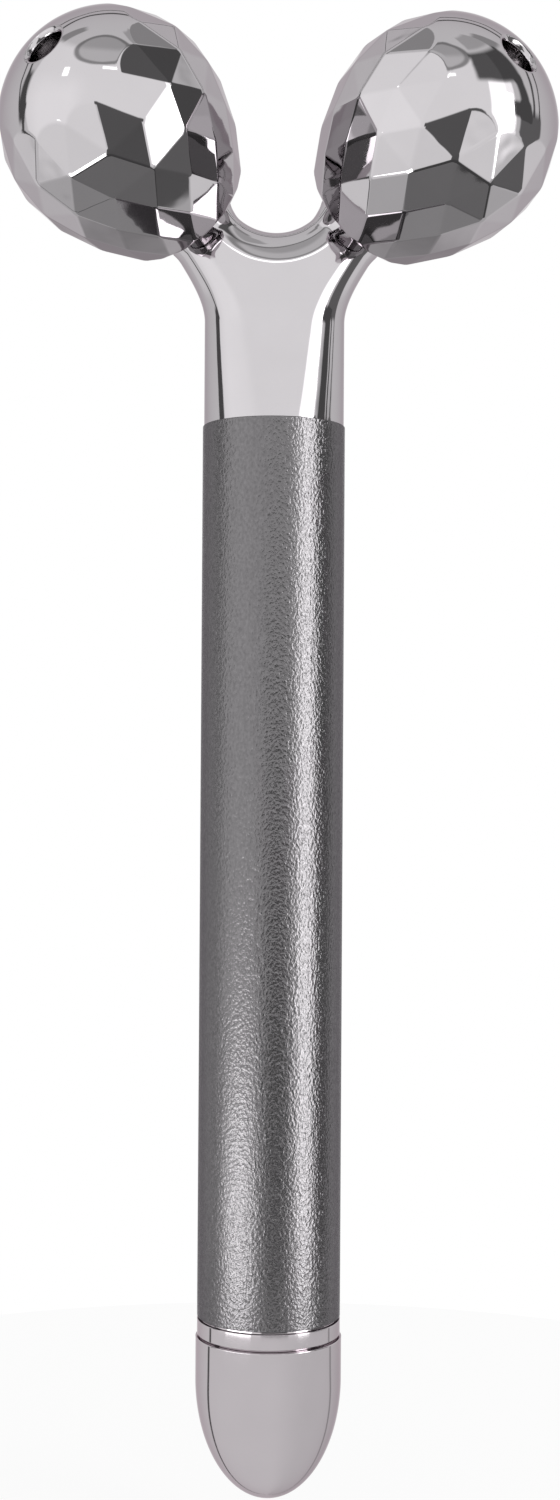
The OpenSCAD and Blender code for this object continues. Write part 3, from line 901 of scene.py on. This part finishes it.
class WAND_OT_handle(bpy.types.Operator):
    """Adds the pebbled gunmetal sleeve of the handle"""

    bl_idname = "wand.handle"
    bl_label = "Handle sleeve"

    def execute(self, context):
        outer, inner = SLEEVE_HIGH.x, context.scene.wand_sizes.bore_r
        low, high = SLEEVE_LOW.z, SLEEVE_HIGH.z
        middle = (low + high) / 2
        outline = rounded([(outer, middle), (outer, high), (inner, high), (inner, low),
                           (outer, low), (outer, middle)], 0.12 * MM)
        sleeve = turned("gunmetal_tube", outline[:-1])
        dress(sleeve, "gunmetal_sleeve")
        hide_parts("handle_sleeve")
        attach(sleeve, "handle")
        return {"FINISHED"}


class WAND_OT_collar(bpy.types.Operator):
    """Adds the collar with its thread, and the seal ring in its groove"""

    bl_idname = "wand.collar"
    bl_label = "Collar and seal"

    def execute(self, context):
        sizes = context.scene.wand_sizes
        outer, inner = COLLAR_HIGH.x, 7.35 * MM
        low, high = COLLAR_LOW.z, COLLAR_HIGH.z
        rim = CAP_HIGH.z
        spigot_r, thread_r = sizes.bore_r - PRESS_GAP, 8.36 * MM
        groove_r = (SEAL_HIGH.x - SEAL_LOW.x) / 2 - (SEAL_HIGH.z - SEAL_LOW.z)
        thread_high, thread_low = SEAL_LOW.z - 0.3 * MM, low + 0.35 * MM
        coil = np.linspace(thread_high, thread_low, 96)
        seam_r, seam_h = outer - sizes.seam_depth, sizes.seam_depth * 0.7
        edge, runout, same = 0.08 * MM, 0.4 * MM, 0.01 * MM
        wall = rounded([(outer, rim / 2), (outer, -seam_h), (seam_r, -seam_h), (seam_r, 0),
                        (spigot_r, 0), (spigot_r, high), (inner, high), (inner, low),
                        (thread_r - sizes.thread_depth, low)], edge)
        thread = np.stack([np.full(len(coil), thread_r), coil], -1)[::-1]
        above = rounded([(thread_r, thread_high), (thread_r, SEAL_LOW.z), (groove_r, SEAL_LOW.z),
                         (groove_r, SEAL_HIGH.z), (thread_r, SEAL_HIGH.z), (thread_r, rim),
                         (seam_r, rim), (seam_r, rim + seam_h), (outer, rim + seam_h),
                         (outer, rim / 2)], edge)
        outline = np.concatenate([wall, thread, above[1:-1]])

        def helix(radius, height, turn):
            """A thread: the wall sinks by the depth along a wave that climbs one pitch a turn, and
            runs out at its upper end"""
            climb = height / sizes.thread_pitch - turn / (2 * np.pi)
            wave = np.clip(0.5 + 0.95 * np.cos(2 * np.pi * climb), 0, 1)
            on = ((height <= thread_high) & (height >= thread_low)
                  & (np.abs(radius - thread_r) < same))
            fade = np.clip((thread_high - height) / runout, 0, 1)
            return radius - np.where(on, sizes.thread_depth * fade * (1 - wave), 0)

        collar = turned("threaded_collar", outline, 160, wall=helix)
        dress(collar, "satin_chrome")
        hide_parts("collar_ring")
        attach(collar, "handle")

        section = (SEAL_HIGH.z - SEAL_LOW.z) / 2
        bend = np.arange(20) * 2 * np.pi / 20
        ring = np.stack([SEAL_HIGH.x - section + section * np.cos(bend),
                         (SEAL_LOW.z + SEAL_HIGH.z) / 2 + section * np.sin(bend)], -1)
        seal = turned("rubber_seal", ring)
        dress(seal, "black_rubber")
        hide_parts("seal_ring")
        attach(seal, "handle")
        return {"FINISHED"}


class WAND_OT_cap(bpy.types.Operator):
    """Adds the bullet-shaped screw cap"""

    bl_idname = "wand.cap"
    bl_label = "End cap"

    def execute(self, context):
        sizes = context.scene.wand_sizes
        outer, rim, tip = CAP_HIGH.x, CAP_HIGH.z, CAP_LOW.z
        nose_z = tip + sizes.nose_len
        wall, spare, play, edge = 0.75 * MM, 1 * MM, 0.05 * MM, 0.12 * MM
        bore_r, bore_z = outer - wall, COLLAR_LOW.z - spare
        plate_low, plate_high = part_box("contact_plate")
        seat_r, seat_z = plate_high.x + play, plate_low.z - play
        hollow_r, hollow_z = 5.6 * MM, plate_low.z - 3.4 * MM
        axis_r = 0.05 * MM
        bend = np.linspace(0, np.pi / 2, 64)[1:-1]
        nose = np.stack([outer * np.cos(bend), nose_z - sizes.nose_len * np.sin(bend)], -1)
        inside = rounded([(axis_r, hollow_z), (hollow_r, hollow_z), (hollow_r, seat_z),
                          (seat_r, seat_z), (seat_r, bore_z), (bore_r, bore_z),
                          (bore_r, rim), (outer, rim), (outer, nose_z)], edge)
        outline = np.concatenate([inside, nose, [[axis_r, tip]]])
        cap = turned("screw_cap", outline, 160, ring=False)
        dress(cap, "satin_chrome")
        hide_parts("end_cap")
        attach(cap, "cap")
        return {"FINISHED"}


class WAND_OT_inner_parts(bpy.types.Operator):
    """Finishes the pieces inside the wand, each with its own slot of the record"""

    bl_idname = "wand.inner_parts"
    bl_label = "Inner parts"

    def execute(self, context):
        for part in frame["record"]["subparts"]:
            node = frame["nodes"][part["node"]]
            if not node.hide_render:
                dress(node, part["material_slot"])
        return {"FINISHED"}


# ---------------------------------------------------------------- stage


def softbox(name, azimuth, distance, size_x, size_y, height, level):
    """Rectangular lamp that faces the wand's axis: azimuth in degrees from the camera's side,
    distance from the axis and height in metres, and level as the brightness of its face"""
    lamp = bpy.data.lights.new(name, "AREA")
    lamp.shape = "RECTANGLE"
    lamp.size, lamp.size_y = size_x, size_y
    lamp.energy = level * math.pi * size_x * size_y
    turn = math.radians(azimuth)
    light = bpy.data.objects.new(name, lamp)
    light.location = (distance * math.sin(turn), -distance * math.cos(turn), height)
    facing = Vector((-light.location.x, -light.location.y, 0))
    light.rotation_euler = facing.to_track_quat("-Z", "Y").to_euler()
    light.visible_camera = False
    bpy.context.scene.collection.objects.link(light)


# Cards of the studio, as metal sees it. Each has its azimuths from the camera's side and their
# softness, its elevations and their softness, all in degrees, and its strength.
BRIGHT_CARDS = {
    "glow": (-84, -32, 12, -16, 26, 12, 0.14),
    "softbox_rim": (41, 69, 1, -33, 32, 1.5, 0.9),
    "upper_lamp": (-53, -47, 0.7, 31, 38, 0.7, 2.0),
    "bar_lamp": (-10, 7, 1, 37, 39.5, 0.7, 2.0),
    "lower_lamp": (-56, -53, 0.5, -10, -7, 0.5, 2.0),
}
DARK_CARDS = {
    "streak": (-103, -94, 2, 4, 34, 3, 1.0),
    "crown": (35, 84, 3, 64, 80, 2, 0.4),
    "flag": (74, 105, 1.5, -58, 13, 3, 0.9),
    "brow": (30, 88, 3, 33, 60, 3, 1.0),
    "temple": (76, 88, 2, 10, 36, 3, 1.0),
    "cheek": (65, 90, 1.5, 7, 18, 2, 1.0),
    "low": (-80, 116, 3, -95, -49, 3, 1.0),
    "desk_edge": (-14, 30, 2, -17, -2, 4, 1.0),
}
FRONT = (-92, 60, 1.5, -46, 58, 4, 1.0)

# These are the same on the left and right: a dark card, a brighter side, and a dimmer back
TWIN_CROWN = (84, 104, 2, 58, 74, 2, 0.6)
SIDES = (106, 128, 4, -38, -5, 5, 0.16)
BEHIND = (163, 400, 5, -52, 3, 5, 0.36)

BACKDROP, FRONT_LIFT, SHELF_DROP, LOW_DROP = 0.93, 0.36, 0.14, 0.22
DARKEST, WORLD_LIGHT = 0.88, 0.85


def oval_card(shader, azimuth, elevation):
    """Dim oval over the wand with a darker rim, from the ellipse's own equation, in degrees"""
    middle_az, half_az, middle_el, half_el = -13, 42, 59, 17
    across, up = (azimuth - middle_az) / half_az, (elevation - middle_el) / half_el
    oval = across * across + up * up
    oval = oval.math("SQRT", oval)
    inside = shader.window(oval, -1, 0.86, 0.06) * 0.4
    return inside + shader.window(oval, 0.86, 1.04, 0.06) * 0.75


def arch_card(shader, y, z, elevation):
    """Two dark hoops over the wand, each at its own distance behind a parabola y = 0.42 z * z"""
    arch = y - z * z.math("MAXIMUM", z, 0.0) * 0.42
    hoops = shader.window(arch, 0.01, 0.06, 0.015) + shader.window(arch, 0.17, 0.2, 0.01)
    return hoops * shader.window(elevation, 12, 200, 2)


def desk_card(shader, azimuth, elevation):
    """Dark desk in front of the wand, which widens downwards"""
    spread = elevation * -0.62 + 2.0
    beside = azimuth.math("ABSOLUTE", azimuth - 8.0)
    return shader.window(beside - spread, -400, 0, 1.5) * shader.window(elevation, -60, -6, 3)


def studio_level(shader):
    """Brightness of the studio in each direction: a backdrop, a brighter front, and the cards"""
    towards = shader.node("ShaderNodeTexCoord", output="Generated")
    x, y, z = (shader.node("ShaderNodeSeparateXYZ", None, towards, output=axis)
               for axis in "XYZ")
    azimuth = shader.azimuth(x, y)
    elevation = z.math("ARCSINE", z) * (180 / math.pi)
    twin = azimuth.math("ABSOLUTE", azimuth)

    slant = azimuth - elevation * 0.4
    dark = shader.window(slant, -100, -96.5, 1) * shader.window(elevation, -90, 14, 2)
    for card in DARK_CARDS.values():
        dark = dark + shader.patch(azimuth, elevation, card)
    dark = dark + shader.patch(twin, elevation, TWIN_CROWN)
    dark = dark + shader.window(elevation, -95, -56, 6) * 0.45
    dark = dark + arch_card(shader, y, z, elevation) + oval_card(shader, azimuth, elevation)
    dark = (dark + desk_card(shader, azimuth, elevation)).clamp()

    front = shader.patch(azimuth, elevation, FRONT)
    shelf = shader.window(elevation, -95, -26, 14) * SHELF_DROP
    far_low = shader.window(elevation, -95, -36, 6) * LOW_DROP
    level = BACKDROP + front * (FRONT_LIFT - shelf) - far_low * (1 - front)
    level = level + shader.patch(twin, elevation, SIDES) - shader.patch(twin, elevation, BEHIND)
    for card in BRIGHT_CARDS.values():
        level = level + shader.patch(azimuth, elevation, card)
    return level * (1 - dark * DARKEST)


def studio(shader):
    """World: white to the camera. Metal sees a backdrop almost as white behind the wand, dimmer
    low in its middle, and the studio's panels, dark gaps and dark desk on the camera's side."""
    level = studio_level(shader)
    path, _, seen = shader.rays()
    picture = path + level * (1 - path)
    strength = picture * seen + (1 - seen) * WORLD_LIGHT
    background = shader.node("ShaderNodeBackground", None, (1, 1, 1, 1), strength)
    shader.node("ShaderNodeOutputWorld", None, background)


def floor_paint(shader):
    """Floor: white where the camera or metal sees it, with a share of plain paper so that the
    wand's shadow stays on it. Metal also sees a seam in it on each side, a soft shade on the
    right, and a dark floor from high up, as the rollers do."""
    high_up, white_share = 0.125, 0.85
    place = shader.node("ShaderNodeTexCoord", output="Object")
    x, y = (shader.node("ShaderNodeSeparateXYZ", None, place, output=axis) for axis in "XY")
    azimuth = shader.azimuth(x, y)
    seams = shader.window(azimuth, -107.5, -103, 1) + shader.window(azimuth, 106, 110, 1.5) * 0.5
    # Painted shade: the floor's right side is made darker where metal sees it, and this shade joins the seams in
    # one mask
    seams = seams + shader.window(azimuth, 30, 150, 30) * 0.14
    ray = shader.node("ShaderNodeLightPath", output="Ray Length")
    far = ray.math("GREATER_THAN", ray, high_up)
    far = far * (shader.window(azimuth, -80, 116, 3) * 0.2 + 0.66)
    _, glossy, seen = shader.rays()
    # Metal sees the floor dimmed by the seams, by the painted shade on the right, and by the dark floor from high
    # up
    shown = (1 - seams.clamp() * glossy) * (1 - far * glossy)
    white = shader.node("ShaderNodeEmission", None, (1, 1, 1, 1), shown)
    paper = shader.node("ShaderNodeBsdfDiffuse", None, (0.9, 0.9, 0.9, 1))
    surface = shader.node("ShaderNodeMixShader", None, seen * white_share, paper, white)
    shader.node("ShaderNodeOutputMaterial", None, surface)


def add_camera(scene):
    """Camera where the photograph was taken from: in front, a little to the left, and level"""
    place = Vector((-9.1, -263.4, 67.8)) * MM
    lean, roll, pan = math.radians(0.71), math.radians(-0.38), math.radians(-2.2)
    camera = bpy.data.cameras.new("camera")
    camera.lens, camera.sensor_width = 50.0, 36.0
    camera.clip_start = 0.01
    eye = bpy.data.objects.new("camera", camera)
    turn = (Matrix.Rotation(lean, 4, "X") @ Matrix.Rotation(roll, 4, "Y")
            @ Matrix.Rotation(pan, 4, "Z") @ Matrix.Rotation(math.pi / 2, 4, "X"))
    eye.matrix_world = Matrix.Translation(place) @ turn
    scene.collection.objects.link(eye)
    scene.camera = eye


def add_floor():
    """Pale floor disc, so low that the cap clears it at the end of its travel"""
    floor_r, thick, edge, clear, axis_r = 119.5 * MM, 3 * MM, 1 * MM, 0.5 * MM, 0.001 * MM
    top = CAD_BOX[0].z - joint_of("cap_travel")["range_m"][1] - clear
    outline = rounded([(axis_r, top), (floor_r, top), (floor_r, top - thick),
                       (axis_r, top - thick)], edge)
    disc = turned("floor", outline, 96, ring=False)
    material = bpy.data.materials.new("floor_paper")
    floor_paint(Shader(material))
    disc.data.materials.append(material)


class WAND_OT_stage(bpy.types.Operator):
    """Adds the camera, the studio light and the pale floor"""

    bl_idname = "wand.stage"
    bl_label = "Stage"

    def execute(self, context):
        scene = context.scene
        scene.view_settings.view_transform = "Standard"
        add_camera(scene)
        scene.world = bpy.data.worlds.new("studio")
        studio(Shader(scene.world))
        softbox("right_softbox", 56, 0.6, 0.21, 0.6, 0.09, 4.6)
        softbox("left_low_panel", -51, 0.2, 0.16, 0.1, -0.06, 4.6)
        add_floor()
        return {"FINISHED"}


class WAND_PT_panel(bpy.types.Panel):
    """Sidebar panel with the wand's sizes, colours and steps"""

    bl_idname = "WAND_PT_panel"
    bl_label = "Facial toning wand"
    bl_space_type = "VIEW_3D"
    bl_region_type = "UI"
    bl_category = "Wand"

    def draw(self, context):
        for operator in STEPS:
            self.layout.operator(operator.bl_idname)
        for group in (context.scene.wand_sizes, context.scene.wand_paints):
            for key in group.bl_rna.properties.keys():
                if key not in ("rna_type", "name"):
                    self.layout.prop(group, key)


STEPS = (WAND_OT_stage, WAND_OT_fork, WAND_OT_rollers, WAND_OT_screws, WAND_OT_handle,
         WAND_OT_collar, WAND_OT_cap, WAND_OT_inner_parts)
CLASSES = (WandSizes, WandPaints) + STEPS + (WAND_PT_panel,)


def register():
    for item in CLASSES:
        bpy.utils.register_class(item)
    bpy.types.Scene.wand_sizes = bpy.props.PointerProperty(type=WandSizes)
    bpy.types.Scene.wand_paints = bpy.props.PointerProperty(type=WandPaints)


def unregister():
    del bpy.types.Scene.wand_paints
    del bpy.types.Scene.wand_sizes
    for item in reversed(CLASSES):
        bpy.utils.unregister_class(item)


def main():
    register()
    bpy.ops.wand.stage()
    bpy.ops.wand.fork()
    bpy.ops.wand.rollers()
    bpy.ops.wand.screws()
    bpy.ops.wand.handle()
    bpy.ops.wand.collar()
    bpy.ops.wand.cap()
    bpy.ops.wand.inner_parts()


if __name__ == "__main__":
    main()
